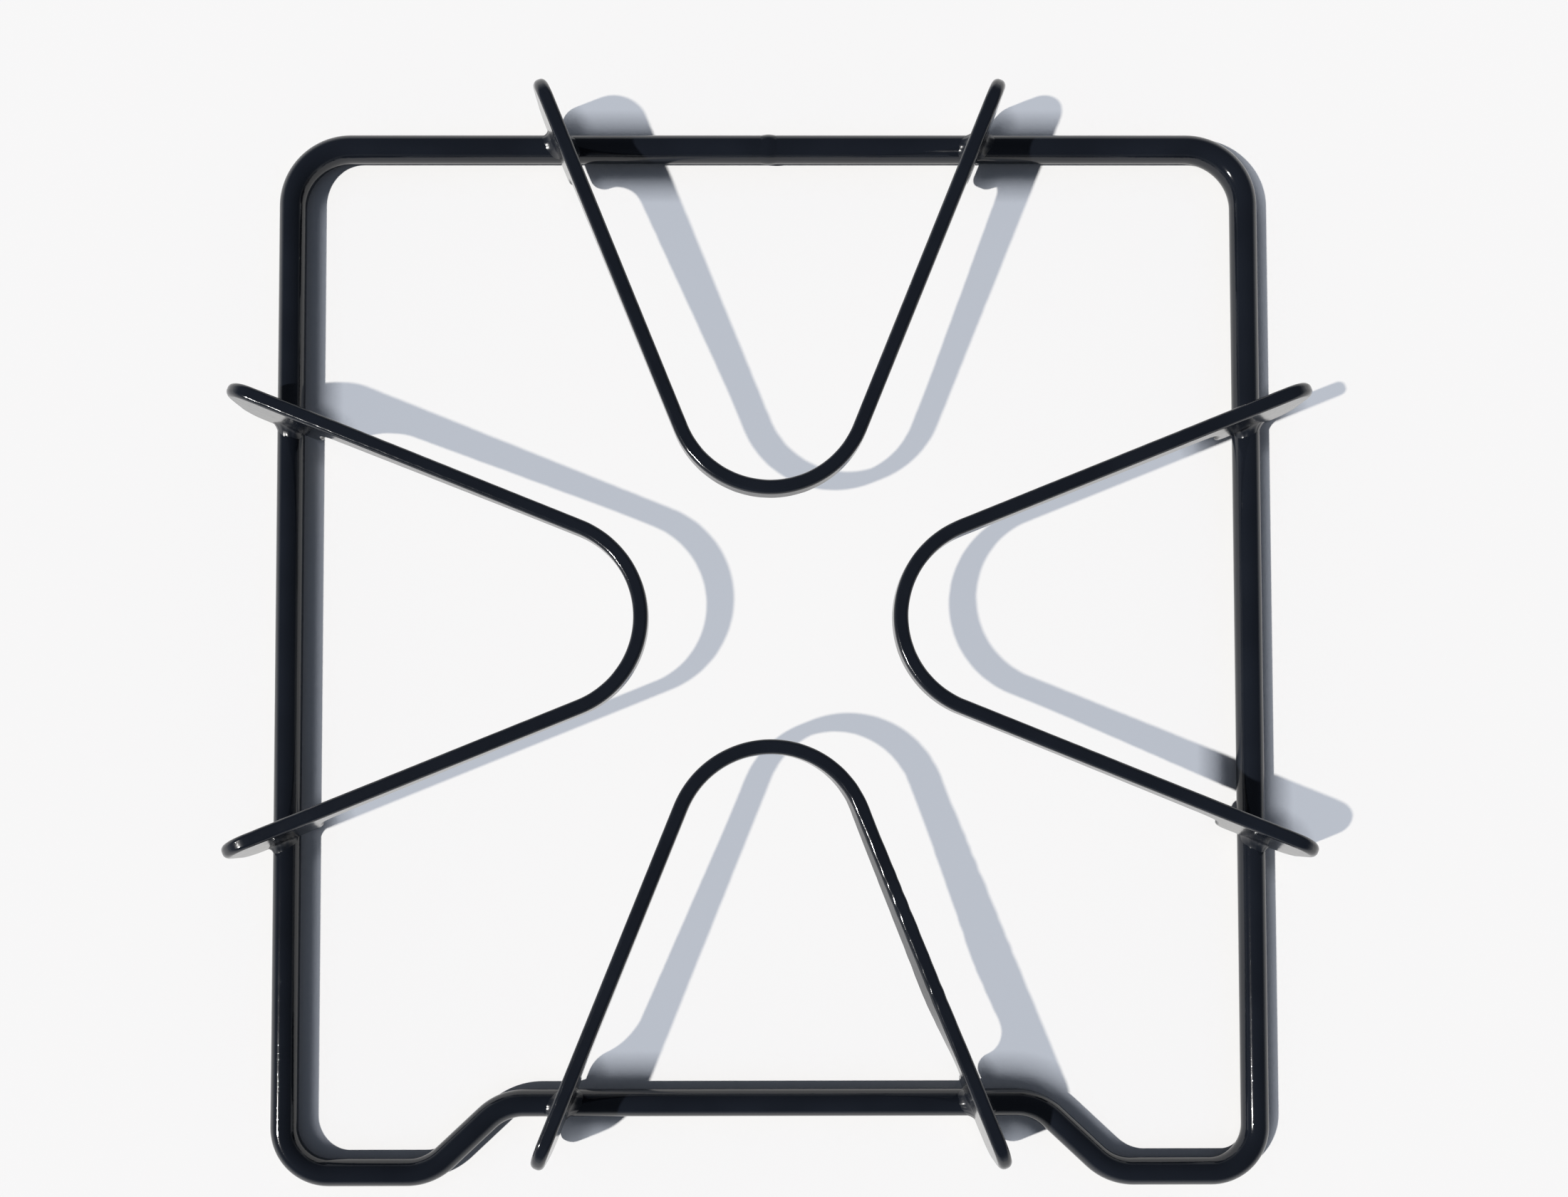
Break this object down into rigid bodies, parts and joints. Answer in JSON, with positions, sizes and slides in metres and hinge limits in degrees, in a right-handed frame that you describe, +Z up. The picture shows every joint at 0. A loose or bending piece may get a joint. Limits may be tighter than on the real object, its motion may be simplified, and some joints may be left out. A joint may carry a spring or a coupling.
{
  "type": "hob pan support",
  "caption": "Square pan support for a gas burner: a bent rod ring, recessed along the front, with V-shaped plate fingers welded on edge that hold a pan over the flame.",
  "frame": {"origin": "on the burner's axis, in the hob's surface on which the ring stands", "axes": "+Z up from the hob to the pan, +Y to the back bar, +X to the right seen from the recessed front bar"},
  "size_m": [0.2554, 0.2629, 0.0226],
  "materials": {
    "enamelled_steel": "glossy black vitreous enamel fired on steel"
  },
  "bodies": {
    "root": {"frame_ring": "enamelled_steel", "finger_back": "enamelled_steel", "finger_front": "enamelled_steel", "finger_left": "enamelled_steel", "finger_right": "enamelled_steel"}
  },
  "joints": []
}
